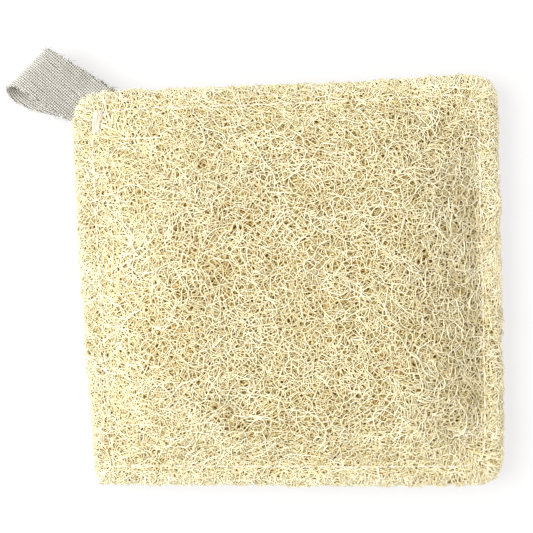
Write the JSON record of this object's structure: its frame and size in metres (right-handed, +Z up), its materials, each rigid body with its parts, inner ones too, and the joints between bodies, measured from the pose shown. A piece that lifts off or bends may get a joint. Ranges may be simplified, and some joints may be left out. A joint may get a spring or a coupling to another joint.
{
  "type": "natural loofah sponge",
  "caption": "Square puffed bath pad of natural loofah net, sewn round its edge, with a folded linen hanging loop at one corner.",
  "frame": {"origin": "middle of the flat rest spot on the underside of the pad's back, on the surface it lies on", "axes": "+Z up out of the pad's front, +Y towards the pad's top edge, +X to its right; the hanging loop leaves the corner at -X +Y"},
  "size_m": [0.1477, 0.1295, 0.0225],
  "materials": {
    "loofah": "dry pale plant fibre, matt",
    "linen": "plain-woven undyed grey linen tape",
    "thread": "off-white twisted cotton"
  },
  "bodies": {
    "root": {"front_loofah": "loofah", "back_loofah": "loofah", "hanging_loop": "linen", "seam_thread": "thread"}
  },
  "joints": []
}
